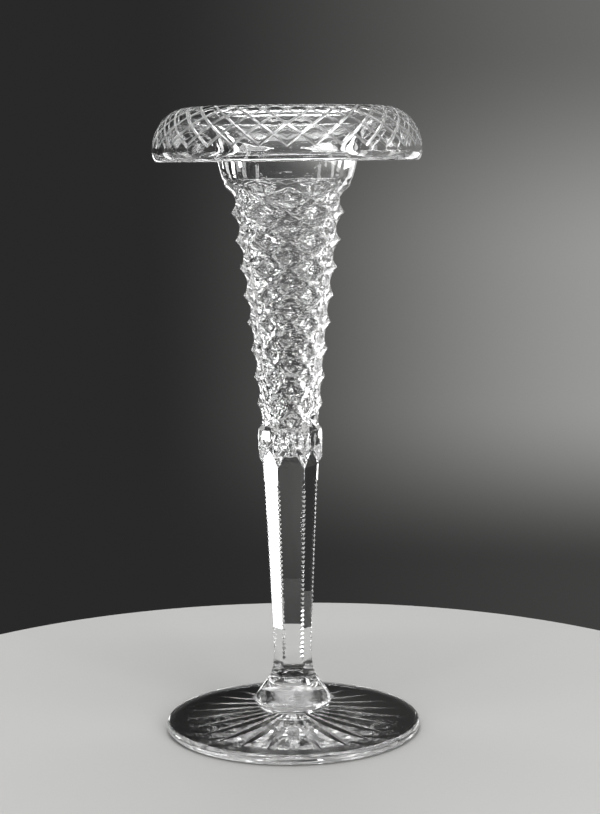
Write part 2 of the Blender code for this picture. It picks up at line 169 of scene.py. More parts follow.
# Values that follow from those above.
COLLAR_TOP = BOWL_BASE + COLLAR_HEIGHT
CUT_BASE = COLLAR_TOP + BOWL_FOOT_MARGIN
CUT_TOP = CUT_BASE + BOWL_ROWS * BOWL_ROW_HEIGHT
NECK_TOP = CUT_TOP + NECK_HEIGHT
RIM_WIDEST = RIM_TOP - RIM_DROP
RIM_CROWN_RADIUS = RIM_CROWN_DIAMETER / 2
RIM_COLUMNS = 2 * RIM_DIAMONDS
RIPPLE_TOP = CUT_TOP + RIPPLE_RISE
HALF_FLUTE = math.pi / FLUTES
CUT_TURN = FLUTE_TURN + HALF_FLUTE
STEM_BASE_RADIUS = STEM_BASE_DIAMETER / 2
STEM_TOP_RADIUS = STEM_TOP_DIAMETER / 2
STEM_WAIST_RADIUS = STEM_WAIST_DIAMETER / 2

# Finishes as (name, deepest tint, least and most roughness, ripple height, ripple scales across and up).
FINISHES = (
    ("polished_foot_glass", (0.975, 0.985, 0.985), (0.0, 0.006), 0.000002, (120, 120)),
    ("polished_knop_glass", (0.975, 0.985, 0.985), (0.0, 0.010), 0.00003, (190, 190)),
    ("polished_stem_glass", (0.980, 0.985, 0.985), (0.0, 0.010), 0.00002, (190, 60)),
    ("cut_bowl_glass", (0.985, 0.990, 0.990), (0.02, 0.06), 0.00008, (300, 600)),
    ("polished_rim_glass", (0.985, 0.990, 0.990), (0.0, 0.010), 0.00003, (150, 150)),
    ("ground_rim_glass", (0.985, 0.990, 0.990), (0.30, 0.48), 0.00003, (300, 300)),
    ("ground_star_glass", (0.985, 0.990, 0.990), (0.16, 0.30), 0.00001, (300, 300)),
    ("blown_glass", (0.985, 0.990, 0.990), (0.03, 0.08), 0.00030, (400, 800)),
)
GLASS_IOR = 1.56
UNTINTED = (1, 1, 1, 1)
TINT_SCALE = 14
WEAR_SCALE = 260
WEAR_RANGE = (0.45, 0.75)
RIPPLE_DETAIL = 1.0

# Floor.
FLOOR_COLUMNS = 256
FLOOR_RADIUS = 0.21
FLOOR_THICKNESS = 0.02
FLOOR_CLEARANCE = 0.0002
FLOOR_BEVEL = 0.002
FLOOR_BEVEL_STEPS = 3
FLOOR_COLOUR = (0.50, 0.50, 0.49, 1)
FLOOR_ROUGHNESS = 0.9
FLOOR_SPECULAR = 0.1

# Camera, from the photograph's perspective: pixels of the photograph, radians, and a sensor in millimetres.
IMAGE_HEIGHT = 814
FOCAL_PIXELS = 1832
EYE_DISTANCE = 0.7264
EYE_HEIGHT = 0.2305
CAMERA_PITCH = 0.1356
CAMERA_YAW = -0.0055
CAMERA_ROLL = -0.0106
SENSOR_WIDTH = 36.0

# Lamps as (name, bearing in degrees, height, distance, width and height of the lamp, power in watts).
LAMPS = (
    ("left_strip_front", -62, 0.05, 0.80, (0.10, 0.30), 0.58),
    ("left_strip_side", -92, 0.05, 0.80, (0.12, 0.30), 0.55),
    ("left_strip_back", -122, 0.05, 0.80, (0.12, 0.30), 0.68),
    ("left_strip_rear", -160, 0.05, 1.00, (0.08, 0.30), 0.42),
    ("right_softbox", 142, -0.04, 1.00, (0.40, 0.40), 1.6),
    ("right_strip_side", 98, 0.05, 0.80, (0.10, 0.30), 0.44),
    ("right_strip_front", 66, 0.05, 0.80, (0.10, 0.30), 0.54),
    ("rear_panel", 174, -0.08, 3.00, (1.80, 0.30), 0.95),
    ("front_window", 32, 0.32, 1.00, (0.40, 0.40), 6.0),
    ("front_window_left", -38, 0.32, 1.00, (0.16, 0.40), 1.6),
    ("front_strip", -24, 0.60, 1.00, (0.30, 0.06), 0.8),
    ("back_high", 180, 1.00, 0.80, (0.50, 0.16), 1.2),
    ("top_strip", 0, 1.10, 0.30, (0.60, 0.10), 2.2),
    ("top_strip_back", 180, 1.10, 0.30, (0.60, 0.10), 2.2),
)
LAMP_AIM = 0.13

# Wide lamps that light the vase but are not mirrored in it as white patches.
UNMIRRORED_LAMPS = ("front_window", "front_window_left")

# Surroundings, by direction of view as a vector of length 1. The band is (height, paleness) stops.
SOFT_LIGHT = (0.54, 0.54, 0.54, 1)
BACKDROP_DARK = (0.022, 0.022, 0.022, 1)
BACKDROP_PALE = (0.34, 0.34, 0.33, 1)
BACKDROP_EDGE = (-0.08, 0.22)
BACKDROP_BAND = ((-0.22, 0.10), (-0.13, 1.0), (-0.06, 1.0), (0.06, 0.40))
ROOM_PALE = (0.50, 0.50, 0.50, 1)
ROOM_SIDE = (0.0, -0.75, 0.66)
ROOM_BLEND = (-0.25, 0.8)
ROOM_LEVEL = (-0.05, 0.35)

# Light paths: how often light may turn, and the count of diffuse bounces under which there was none.
GLASS_BOUNCES = 28
GLOSSY_BOUNCES = 16
JOINT_BOUNCES = 32
BEFORE_BOUNCE = 0.5


def mix(a, b, share):
    """The value that lies the given share of the way from a to b."""
    return a + (b - a) * share


def eased(share):
    """A share from 0 to 1 that starts and ends gently, held at its limits."""
    held = min(1.0, max(0.0, share))
    return held * held * (3 - 2 * held)


def humped(share):
    """A curve that is 0 at the shares 0 and 1, and 1 midway."""
    return 4 * share * (1 - share)


def curve_run(start, end, pulls, steps, first=0):
    """Points of a smooth (radius, height) curve, with a pull from its start and one from its end."""
    second = (start[0] + pulls[0][0], start[1] + pulls[0][1])
    third = (end[0] + pulls[1][0], end[1] + pulls[1][1])
    corners = (start, second, third, end)
    points = []
    for i in range(first, steps + 1):
        share = i / steps
        rest = 1 - share
        weights = (rest ** 3, 3 * rest * rest * share, 3 * rest * share * share, share ** 3)
        points.append(tuple(sum(w * p[axis] for w, p in zip(weights, corners)) for axis in (0, 1)))
    return points


def arc_run(centre, radii, start, end, steps, first=0):
    """Points on an ellipse's arc, with its angles counted from outward to up."""
    points = []
    for i in range(first, steps + 1):
        angle = mix(start, end, i / steps)
        points.append((centre[0] + radii[0] * math.cos(angle), centre[1] + radii[1] * math.sin(angle)))
    return points


def even_angles(columns, turn=0.0):
    """Equally spaced angles round the vase."""
    return [turn + FULL_TURN * i / columns for i in range(columns)]


def quad(first, second, i):
    """The four-sided face that follows place i between two rings of the same count."""
    j = (i + 1) % len(first)
    return first[i][1], first[j][1], second[j][1], second[i][1]


class Skin:
    """The vertices and faces of one piece of glass; a ring is a list of (angle, vertex) pairs."""

    def __init__(self):
        self.points = []
        self.faces = []
        self.finishes = []

    def point(self, angle, radius, height):
        """Add a vertex and give its number."""
        self.points.append((radius * math.sin(angle), -radius * math.cos(angle), height))
        return len(self.points) - 1

    def ring(self, angles, place):
        """A new ring; place is a function that gives the (radius, height) at an angle."""
        pairs = []
        for angle in angles:
            radius, height = place(angle)
            pairs.append((angle, self.point(angle, radius, height)))
        return pairs

    def turned(self, angles, points):
        """A round level ring for each (radius, height) point."""
        return [self.ring(angles, lambda angle, point=point: point) for point in points]

    def stitch(self, first, second):
        """Faces between two rings: four-sided where they have the same count, or else triangles."""
        if len(first) == len(second):
            self.faces.extend(quad(first, second, i) for i in range(len(first)))
        else:
            self.stitch_uneven(first, second)

    def stitch_uneven(self, first, second):
        """Triangles between two rings, each to whichever ring's next vertex has the smaller angle."""
        start = first[0][0]
        second = sorted(((angle - start) % FULL_TURN + start, vert) for angle, vert in second)
        first = first + [(start + FULL_TURN, first[0][1])]
        second = second + [(second[0][0] + FULL_TURN, second[0][1])]
        i = 0
        j = 0
        while i + 1 < len(first) or j + 1 < len(second):
            second_done = j + 1 == len(second)
            if second_done or (i + 1 < len(first) and first[i + 1][0] <= second[j + 1][0]):
                self.faces.append((first[i][1], first[i + 1][1], second[j][1]))
                i += 1
            else:
                self.faces.append((first[i][1], second[j + 1][1], second[j][1]))
                j += 1

    def stitch_all(self, rings):
        """Faces between each ring and the next."""
        for first, second in zip(rings, rings[1:]):
            self.stitch(first, second)

    def joint(self, pairs):
        """A flat face where this piece is fused to its neighbour."""
        start = len(self.faces)
        self.faces.append(tuple(vert for angle, vert in pairs))
        self.finish_from(start, "fused_joint")

    def finish_from(self, start, finish):
        """Give the faces made since a count their own finish."""
        self.finishes.append((start, len(self.faces), finish))

    def tip(self, pairs, height):
        """A fan of faces from a ring to a point on the axis."""
        self.points.append((0.0, 0.0, height))
        top = len(self.points) - 1
        for i in range(len(pairs)):
            self.faces.append((pairs[i][1], pairs[(i + 1) % len(pairs)][1], top))

    def piece(self, name, node, finish):
        """The finished object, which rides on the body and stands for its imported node."""
        mesh = bpy.data.meshes.new(name)
        mesh.from_pydata(self.points, [], self.faces)
        mesh.materials.append(bpy.data.materials[finish])
        for start, end, other in self.finishes:
            if other not in mesh.materials:
                mesh.materials.append(bpy.data.materials[other])
            for number in range(start, end):
                mesh.polygons[number].material_index = mesh.materials.find(other)
        bm = bmesh.new()
        bm.from_mesh(mesh)
        bmesh.ops.recalc_face_normals(bm, faces=bm.faces)
        bm.to_mesh(mesh)
        bm.free()
        mesh.shade_smooth()
        mesh.set_sharp_from_angle(angle=CRISP_BEND)
        made = bpy.data.objects.new(name, mesh)
        bpy.context.collection.objects.link(made)
        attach(made, BODY)
        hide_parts(node)


def from_flute_middle(angle):
    """How far an angle lies from the middle of its nearest flute."""
    return (angle - FLUTE_TURN + HALF_FLUTE) % (2 * HALF_FLUTE) - HALF_FLUTE


def star_rings(skin):
    """Rings of the star's mitred grooves, from the rim of the star to its heart."""
    half_pitch = math.pi / STAR_RAYS
    rim = STAR_DIAMETER / 2
    flank = 2 * STAR_DEPTH / STAR_RAY_WIDTH
    rings = []
    for number in range(1, STAR_RINGS + 1):
        radius = mix(rim, STAR_HEART_DIAMETER / 2, number / STAR_RINGS)
        depth = STAR_DEPTH * math.sin(QUARTER_TURN * min(1.0, (rim - radius) / STAR_RAY_POINT))
        edge = min(depth / flank / radius, half_pitch * STAR_EDGE_LIMIT)
        pairs = []
        for ray in range(STAR_RAYS):
            for offset in (0.0, edge, half_pitch, 2 * half_pitch - edge):
                aside = min(offset, 2 * half_pitch - offset)
                height = max(0.0, depth - flank * radius * aside)
                angle = 2 * half_pitch * ray + offset
                pairs.append((angle, skin.point(angle, radius, height)))
        rings.append(pairs)
    return rings


def make_foot():
    """Round foot with the star cut into its underside."""
    skin = Skin()
    seat = KNOP_SEAT_DIAMETER / 2
    middle = FOOT_EDGE_THICKNESS / 2
    inset = FOOT_RADIUS - FOOT_EDGE_ROUND
    slope = curve_run((seat, KNOP_BASE), (inset, FOOT_EDGE_THICKNESS), FOOT_SLOPE_PULLS, LONG_STEPS)
    edge = arc_run((inset, middle), (FOOT_EDGE_ROUND, middle), QUARTER_TURN, -QUARTER_TURN, LONG_STEPS, 1)
    top = skin.turned(even_angles(ROUND_COLUMNS, FLUTE_TURN), slope + edge)
    border = skin.turned(even_angles(STAR_RAY_POINTS * STAR_RAYS), [(STAR_DIAMETER / 2, 0.0)])
    star = star_rings(skin)
    skin.stitch_all(top + border)
    facets = []
    for first, second in zip(border + star, star):
        for i in range(len(first)):
            in_groove = i % STAR_RAY_POINTS in (0, STAR_RAY_POINTS - 1)
            faces = facets if in_groove else skin.faces
            faces.append(quad(first, second, i))
    skin.joint(top[0])
    facet_start = len(skin.faces)
    skin.faces.extend(facets)
    skin.tip(star[-1], STAR_DEPTH)
    skin.finish_from(facet_start, "ground_star_glass")
    skin.piece("glass_foot", "star_cut_foot", "polished_foot_glass")


def knop_flat(drop):
    """Distance of a flute's face from the axis at a drop below the stem, whose slope it takes over."""
    top = STEM_BASE_RADIUS * math.cos(HALF_FLUTE)
    flare = STEM_BASE_RADIUS - STEM_WAIST_RADIUS
    slope = STEM_FLARE_POWER * flare / STEM_FLARE * math.cos(HALF_FLUTE)
    bow = (KNOP_RADIUS - top - slope * KNOP_FLUTE_DROP) / KNOP_FLUTE_DROP ** 2
    return top + slope * drop + bow * drop * drop


def knop_ring(skin, angles, point):
    """A ring through a (radius, height) point, drawn in where the flutes cut deeper."""
    radius, height = point
    flat = knop_flat(STEM_BASE - height)
    return skin.ring(angles, lambda angle: (min(radius, flat / math.cos(from_flute_middle(angle))), height))


def make_knop():
    """Rounded knop whose shoulder takes the lower ends of the flutes."""
    skin = Skin()
    seat = KNOP_SEAT_DIAMETER / 2
    belly = KNOP_BASE + KNOP_BELLY
    under = arc_run((seat, belly), (KNOP_RADIUS - seat, KNOP_BELLY), -QUARTER_TURN, 0, SHORT_STEPS)
    shoulder = curve_run((KNOP_RADIUS, belly), (STEM_BASE_RADIUS, STEM_BASE), KNOP_SHOULDER_PULLS,
                         2 * LONG_STEPS, 1)
    angles = even_angles(ROUND_COLUMNS, FLUTE_TURN)
    rings = [knop_ring(skin, angles, point) for point in under + shoulder]
    skin.stitch_all(rings)
    skin.joint(rings[0])
    skin.joint(rings[-1])
    skin.piece("glass_knop", "foot_knop", "polished_knop_glass")


def stem_radius(level):
    """Radius over the stem's edges at a level above its base."""
    straight = mix(STEM_WAIST_RADIUS, STEM_TOP_RADIUS, level / (BOWL_BASE - STEM_BASE))
    flare = STEM_BASE_RADIUS - STEM_WAIST_RADIUS
    return straight + flare * max(0.0, 1 - level / STEM_FLARE) ** STEM_FLARE_POWER


def stem_levels():
    """Levels of the stem's rings as (level, notched) pairs, with plain lengths at both ends."""
    length = BOWL_BASE - STEM_BASE
    notches = int((length - 2 * NOTCH_MARGIN) / NOTCH_PITCH)
    plain = (length - notches * NOTCH_PITCH) / 2
    levels = [(plain * i / STEM_END_STEPS, False) for i in range(STEM_END_STEPS)]
    levels += [(plain + NOTCH_PITCH / 2 * i, i % 2 == 1) for i in range(2 * notches + 1)]
    levels += [(length - plain * i / STEM_END_STEPS, False) for i in reversed(range(STEM_END_STEPS))]
    return levels


def stem_ring(skin, level, notched):
    """A six-sided ring whose corners, where notched, are cut straight across."""
    edge = stem_radius(level)
    flat = edge * math.cos(HALF_FLUTE)
    shoulder = math.atan((flat * math.tan(HALF_FLUTE) - NOTCH_WIDTH) / flat)
    corner = flat / math.cos(shoulder) * math.cos(HALF_FLUTE - shoulder) if notched else edge
    pairs = []
    for flute in range(FLUTES):
        middle = FLUTE_TURN + 2 * HALF_FLUTE * flute
        for offset in (-shoulder, shoulder, HALF_FLUTE):
            radius = corner if offset == HALF_FLUTE else flat / math.cos(offset)
            pairs.append((middle + offset, skin.point(middle + offset, radius, STEM_BASE + level)))
    return pairs


def stitch_notches(skin, low, high, dip_below, dip_above):
    """Faces between two rings of the stem; beside its edges they are split so that each notch is mitred."""
    for i in range(len(low)):
        face = quad(low, high, i)
        on_flat = i % FLUTE_POINTS == 0
        corner_first = i % FLUTE_POINTS == FLUTE_POINTS - 1
        if on_flat or not (dip_above or dip_below):
            skin.faces.append(face)
        elif corner_first == dip_above:
            skin.faces.append((face[0], face[2], face[3]))
            skin.faces.append((face[0], face[1], face[2]))
        else:
            skin.faces.append((face[0], face[1], face[3]))
            skin.faces.append((face[1], face[2], face[3]))


def make_stem():
    """Six-sided stem with a row of mitred notches down each edge."""
    skin = Skin()
    levels = stem_levels()
    rings = [stem_ring(skin, level, notched) for level, notched in levels]
    for number in range(len(rings) - 1):
        dip_below = levels[number][1]
        dip_above = levels[number + 1][1]
        stitch_notches(skin, rings[number], rings[number + 1], dip_below, dip_above)
    skin.joint(rings[0])
    skin.joint(rings[-1])
    skin.piece("glass_stem", "fluted_stem", "polished_stem_glass")


def collar_side(level):
    """Radius of the collar before the flutes are cut, at a level above its base."""
    widest = COLLAR_DIAMETER / 2
    if level < COLLAR_SWELL:
        return mix(COLLAR_BASE_DIAMETER / 2, widest, math.sin(QUARTER_TURN * level / COLLAR_SWELL))
    above = (level - COLLAR_SWELL) / (COLLAR_HEIGHT - COLLAR_SWELL)
    return mix(widest, COLLAR_TOP_DIAMETER / 2, above * above)


def collar_radius(angle, level):
    """Radius of the collar, with each flute of the stem ending in an arch up its side."""
    aside = from_flute_middle(angle)
    flat = STEM_TOP_RADIUS * math.cos(HALF_FLUTE) / math.cos(aside)
    arch = FLUTE_ARCH * (1 - (aside / HALF_FLUTE) ** 2)
    return mix(flat, collar_side(level), eased((level - arch) / FLUTE_ARCH_FADE))


def collar_ring(skin, angles, level):
    """A ring of the collar at a level above its base."""
    return skin.ring(angles, lambda angle: (collar_radius(angle, level), BOWL_BASE + level))


def tip_radius(level):
    """Radius over the diamonds' tips, and of the neck, at a level above the base of the cutting."""
    share = level / (CUT_TOP - CUT_BASE)
    straight = mix(BOWL_BASE_DIAMETER / 2, BOWL_TOP_DIAMETER / 2, share)
    above = max(0.0, level - (CUT_TOP - CUT_BASE)) / NECK_HEIGHT
    return straight - BOWL_HOLLOWING * humped(share) + NECK_FLARE * above


def neck_radius():
    """Radius of the top of the neck, where the rim begins to turn over."""
    return tip_radius(NECK_TOP - CUT_BASE)


def hollow_groove(turns):
    """Depth of a hollow groove, from 0 on the ridges at whole turns to 1 midway."""
    across = abs(2 * (turns % 1.0) - 1)
    return 1 - across ** BOWL_GROOVE_POWER


def bowl_radius(angle, level):
    """Radius of the bowl's outside with both sets of slanting grooves cut into it."""
    column = BOWL_DIAMONDS * (angle - CUT_TURN) / FULL_TURN
    row = level / BOWL_ROW_HEIGHT + BOWL_FIRST_ROW
    groove = max(hollow_groove(column + row), hollow_groove(column - row))
    left = (CUT_TOP - CUT_BASE + GROOVE_END - level) / GROOVE_RUN_OUT
    return tip_radius(level) * (1 - BOWL_GROOVE_SHARE * groove * min(1.0, max(0.0, left)))


def bowl_ring(skin, angles, level):
    """A ring of the bowl's outside at a level above the base of the cutting."""
    return skin.ring(angles, lambda angle: (bowl_radius(angle, level), CUT_BASE + level))


def bowl_rings(skin):
    """Rings of the collar, the cut bowl and the neck, from below."""
    angles = even_angles(2 * BOWL_DIAMONDS * CUT_STEPS, CUT_TURN)
    collar = [COLLAR_HEIGHT * number / COLLAR_RINGS for number in range(COLLAR_RINGS + 1)]
    step = BOWL_ROW_HEIGHT / 2 / CUT_STEPS
    rows = 2 * BOWL_ROWS * CUT_STEPS
    foot_steps = int((BOWL_FOOT_MARGIN - COLLAR_STEP) / step)
    levels = [step * row for row in range(-foot_steps, rows + 1)]
    neck_steps = 2 * CUT_STEPS
    levels += [rows * step + NECK_HEIGHT * i / neck_steps for i in range(1, neck_steps + 1)]
    rings = [collar_ring(skin, angles, level) for level in collar]
    rings += [bowl_ring(skin, angles, level) for level in levels]
    return rings


def rim_place(row, depth=0.0):
    """(radius, height) of the rim's outside, by row of its grooves' crossings and depth under it."""
    lift = mix(RIM_CUT_START, QUARTER_TURN, row / (RIM_ROWS + 1))
    across = RIM_RADIUS - RIM_CROWN_RADIUS
    normal_r = math.cos(lift) / across
    normal_z = math.sin(lift) / RIM_DROP
    inward = depth / math.hypot(normal_r, normal_z)
    radius = RIM_CROWN_RADIUS + across * math.cos(lift) - inward * normal_r
    height = RIM_WIDEST + RIM_DROP * math.sin(lift) - inward * normal_z
    return radius, height


def rim_marks():
    """Shares along one side of a rim diamond: the groove at each end and even steps between."""
    row_length = QUARTER_TURN * (RIM_RADIUS - RIM_CROWN_RADIUS) / (RIM_ROWS + 1)
    column_length = FULL_TURN * RIM_RADIUS / RIM_COLUMNS
    inset = RIM_GROOVE_WIDTH / 2 * math.hypot(row_length, column_length) / (row_length * column_length)
    inner = [mix(inset / 2, 1 - inset / 2, i / RIM_CELL_STEPS) for i in range(RIM_CELL_STEPS + 1)]
    return [0.0] + inner + [1.0]


class RimLattice:
    """The rim's crossing grooves, on a grid along the two slanting directions."""

    def __init__(self, skin):
        self.skin = skin
        self.marks = rim_marks()
        self.known = {}
        self.grooves = []

    def vert(self, along, across, depth):
        """A shared vertex; along and across count grooves in the two slanting directions."""
        column = along - across
        row = along + across
        shared_column = round(column % RIM_COLUMNS, SHARED_POINT_DIGITS) % RIM_COLUMNS
        key = (shared_column, round(row, SHARED_POINT_DIGITS), depth > 0)
        if key not in self.known:
            radius, height = rim_place(row, depth)
            self.known[key] = self.skin.point(column * FULL_TURN / RIM_COLUMNS, radius, height)
        return self.known[key]

    def cell_grid(self, along, across):
        """Lines of vertices over one diamond, with the bottoms of the grooves as their outer ones."""
        last = len(self.marks) - 1
        grid = []
        for i, a in enumerate(self.marks):
            line = []
            for j, b in enumerate(self.marks):
                in_groove = i in (0, last) or j in (0, last)
                line.append(self.vert(along + a, across + b, RIM_GROOVE_DEPTH if in_groove else 0.0))
            grid.append(line)
        return grid

    def cell(self, along, across):
        """One diamond with the near halves of the grooves round it, mitred at its corners."""
        grid = self.cell_grid(along, across)
        last = len(self.marks) - 1
        for i in range(last):
            for j in range(last):
                corners = (grid[i][j], grid[i + 1][j], grid[i + 1][j + 1], grid[i][j + 1])
                on_sides = (i in (0, last - 1)) + (j in (0, last - 1))
                if on_sides == 0:
                    self.skin.faces.append(corners)
                elif on_sides == 1:
                    self.grooves.append(corners)
                elif (i == 0) == (j == 0):
                    self.grooves.append((corners[0], corners[1], corners[2]))
                    self.grooves.append((corners[0], corners[2], corners[3]))
                else:
                    self.grooves.append((corners[0], corners[1], corners[3]))
                    self.grooves.append((corners[1], corners[2], corners[3]))

    def cut(self):
        """All the diamonds, row by row."""
        for row in range(RIM_ROWS):
            for column in range(row % 2, RIM_COLUMNS, 2):
                self.cell((row + column) / 2, (row - column) / 2)

    def border(self, row, inward):
        """The far side of the last grooves, as a zigzag ring of (angle, vertex, row) round one end."""
        inset = self.marks[1]
        border = []
        bottoms = []
        for column in range(RIM_COLUMNS):
            crossing = (column + row) % 2 == 0
            for mark in self.marks[:-1]:
                share = mark if crossing else 1 - mark
                edge_row = row + inward * mix(-2 * inset, 1 - 2 * inset, share)
                angle = (column + mark) * FULL_TURN / RIM_COLUMNS
                radius, height = rim_place(edge_row)
                border.append((angle, self.skin.point(angle, radius, height), edge_row))
                bottom_row = row + inward * share
                along = (bottom_row + column + mark) / 2
                bottoms.append((angle, self.vert(along, bottom_row - along, RIM_GROOVE_DEPTH)))
        self.grooves.extend(quad(bottoms, border, i) for i in range(len(border)))
        return border


def plain_band(skin, border, row):
    """The plain glass from a zigzag border to a level ring at the given row."""
    rings = [[(angle, vert) for angle, vert, edge_row in border]]
    for step in range(1, RIM_BAND_STEPS + 1):
        pairs = []
        for angle, vert, edge_row in border:
            radius, height = rim_place(mix(edge_row, row, step / RIM_BAND_STEPS))
            pairs.append((angle, skin.point(angle, radius, height)))
        rings.append(pairs)
    skin.stitch_all(rings)
    return rings[-1]


def rim_edge_points():
    """Profile from the top of the neck along the rim's underside and round its lip."""
    neck = (neck_radius(), NECK_TOP)
    under_crown = (RIM_CROWN_RADIUS, RIM_TOP - RIM_WALL)
    under_radii = (RIM_RADIUS - RIM_CROWN_RADIUS - RIM_WALL, RIM_DROP - RIM_WALL)
    lip_middle = RIM_RADIUS - RIM_WALL / 2
    lip_radii = (RIM_WALL / 2, RIM_LIP_DROP)
    points = curve_run(neck, under_crown, RIM_UNDER_PULLS, LONG_STEPS, 1)
    points += arc_run((RIM_CROWN_RADIUS, RIM_WIDEST), under_radii, QUARTER_TURN, 0, LONG_STEPS, 1)
    points += arc_run((lip_middle, RIM_WIDEST), lip_radii, -math.pi, RIM_LIP_END, LONG_STEPS, 1)
    return points


def hollow_points():
    """Profile of the hollow, from the rim's crown down the throat to its rounded floor."""
    crown = (RIM_CROWN_RADIUS, RIM_TOP)
    throat = (neck_radius() - HOLLOW_THROAT_WALL, NECK_TOP)
    cut_top = BOWL_TOP_DIAMETER / 2 * (1 - BOWL_GROOVE_SHARE) - HOLLOW_CUT_WALL
    base = HOLLOW_BASE_DIAMETER / 2
    round_top = BOWL_BASE + HOLLOW_FLOOR + HOLLOW_ROUND
    lean = (cut_top - base) / (CUT_TOP - round_top)
    throat_lean = HOLLOW_THROAT_PULLS[1][0] / HOLLOW_THROAT_PULLS[1][1]
    neck_pulls = ((-throat_lean * HOLLOW_NECK_PULL, -HOLLOW_NECK_PULL),
                  (lean * HOLLOW_NECK_PULL, HOLLOW_NECK_PULL))
    points = curve_run(crown, throat, HOLLOW_THROAT_PULLS, 2 * LONG_STEPS)
    points += curve_run(throat, (cut_top, CUT_TOP), neck_pulls, SHORT_STEPS, 1)
    for number in range(1, HOLLOW_RINGS + 1):
        share = number / HOLLOW_RINGS
        points.append((mix(cut_top, base, share), mix(CUT_TOP, round_top, share)))
    points += arc_run((0.0, round_top), (base, HOLLOW_ROUND), 0, HOLLOW_ROUND_END, SHORT_STEPS, 1)
    return points


def make_bowl():
    """Trumpet bowl: collar, hollow-cut diamonds, plain neck, turned-over rim and hollow."""
    skin = Skin()
    outside = bowl_rings(skin)
    skin.joint(outside[0])

    rim_start = len(skin.faces)
    lattice = RimLattice(skin)
    lattice.cut()
    lower = lattice.border(0, 1)
    upper = lattice.border(RIM_ROWS + 1, -1)
    angles = [angle for angle, vert, edge_row in lower]
    edge = skin.turned(angles, rim_edge_points())
    skin.stitch_all(outside[-1:] + edge + [plain_band(skin, lower, -RIM_BAND_BELOW)])

    hollow = hollow_points()
    mouth_points = [point for point in hollow if NECK_TOP < point[1] and point[0] < RIM_CROWN_RADIUS]
    throat_points = [point for point in hollow if RIPPLE_TOP < point[1] <= NECK_TOP]
    below_points = [point for point in hollow if point[1] <= RIPPLE_TOP]
    mouth = skin.turned(angles, mouth_points)
    throat = skin.turned(even_angles(HOLLOW_COLUMNS), throat_points)
    below = skin.turned(even_angles(HOLLOW_COLUMNS), below_points)
    top_band = plain_band(skin, upper, RIM_ROWS + 1 + RIM_BAND_ABOVE)
    skin.stitch_all([top_band] + mouth + throat + below[:1])
    skin.finish_from(rim_start, "polished_rim_glass")

    groove_start = len(skin.faces)
    skin.faces.extend(lattice.grooves)
    skin.finish_from(groove_start, "ground_rim_glass")

    hollow_start = len(skin.faces)
    skin.stitch_all(below)
    skin.tip(below[-1], BOWL_BASE + HOLLOW_FLOOR)
    skin.finish_from(hollow_start, "blown_glass")

    skin.stitch_all(outside)
    skin.piece("glass_bowl", "trumpet_bowl", "cut_bowl_glass")


def add_node(tree, kind, inputs):
    """A new node; each input, by name or number, is a plain value or the output of another node."""
    node = tree.nodes.new(kind)
    for name, source in inputs.items():
        if isinstance(source, bpy.types.NodeSocket):
            tree.links.new(source, node.inputs[name])
        else:
            node.inputs[name].default_value = source
    return node


def ranged(tree, source, limits, results=(0.0, 1.0), blend="LINEAR"):
    """A value's span between two limits, spread over the span between two results."""
    node = add_node(tree, "ShaderNodeMapRange", {
        "Value": source,
        "From Min": limits[0],
        "From Max": limits[1],
        "To Min": results[0],
        "To Max": results[1],
    })
    node.interpolation_type = blend
    return node.outputs["Result"]


def worked_out(tree, operation, first, second):
    """The result of one step of arithmetic."""
    node = add_node(tree, "ShaderNodeMath", {0: first, 1: second})
    node.operation = operation
    return node.outputs["Value"]


def mixed_colour(tree, share, first, second):
    """The colour that lies a share of the way from the first to the second."""
    node = add_node(tree, "ShaderNodeMixRGB", {"Fac": share, "Color1": first, "Color2": second})
    return node.outputs["Color"]


def uneven_tint(tree, place, tint):
    """Colour that drifts between clear and the deepest tint."""
    tone = add_node(tree, "ShaderNodeTexNoise", {"Vector": place, "Scale": TINT_SCALE})
    colours = add_node(tree, "ShaderNodeValToRGB", {"Fac": tone.outputs["Fac"]})
    colours.color_ramp.elements[0].color = (*tint, 1)
    colours.color_ramp.elements[1].color = UNTINTED
    return colours.outputs["Color"]


def fine_wear(tree, place, roughness):
    """Roughness that goes from its least to its most in small spots."""
    spots = add_node(tree, "ShaderNodeTexNoise", {"Vector": place, "Scale": WEAR_SCALE})
    return ranged(tree, spots.outputs["Fac"], WEAR_RANGE, roughness)


def ripples(tree, place, height, scales):
    """Shallow ripples; the mapping sets their scale, so the noise has none of its own."""
    across, up = scales
    stretch = add_node(tree, "ShaderNodeMapping", {"Vector": place, "Scale": (across, across, up)})
    waves = add_node(tree, "ShaderNodeTexNoise", {
        "Vector": stretch.outputs["Vector"],
        "Scale": 1.0,
        "Detail": RIPPLE_DETAIL,
    })
    bump = add_node(tree, "ShaderNodeBump", {"Height": waves.outputs["Fac"], "Distance": height})
    return bump.outputs["Normal"]


def glass_material(name, tint, roughness, ripple_height, ripple_scales):
    """Clear lead glass: a faint uneven tint, a trace of fine wear, and ripples left by its making."""
    material = bpy.data.materials.new(name)
    material.use_nodes = True
    tree = material.node_tree
    place = tree.nodes.new("ShaderNodeTexCoord").outputs["Object"]
    shader = tree.nodes["Principled BSDF"]
    shader.inputs["IOR"].default_value = GLASS_IOR
    shader.inputs["Transmission Weight"].default_value = 1.0
    tree.links.new(uneven_tint(tree, place, tint), shader.inputs["Base Color"])
    tree.links.new(fine_wear(tree, place, roughness), shader.inputs["Roughness"])
    tree.links.new(ripples(tree, place, ripple_height, ripple_scales), shader.inputs["Normal"])


def joint_material():
    """Fused joint inside the glass, which light passes straight through."""
    material = bpy.data.materials.new("fused_joint")
    material.use_nodes = True
    nodes = material.node_tree.nodes
    nodes.remove(nodes["Principled BSDF"])
    clear = nodes.new("ShaderNodeBsdfTransparent")
    material.node_tree.links.new(clear.outputs["BSDF"], nodes["Material Output"].inputs["Surface"])


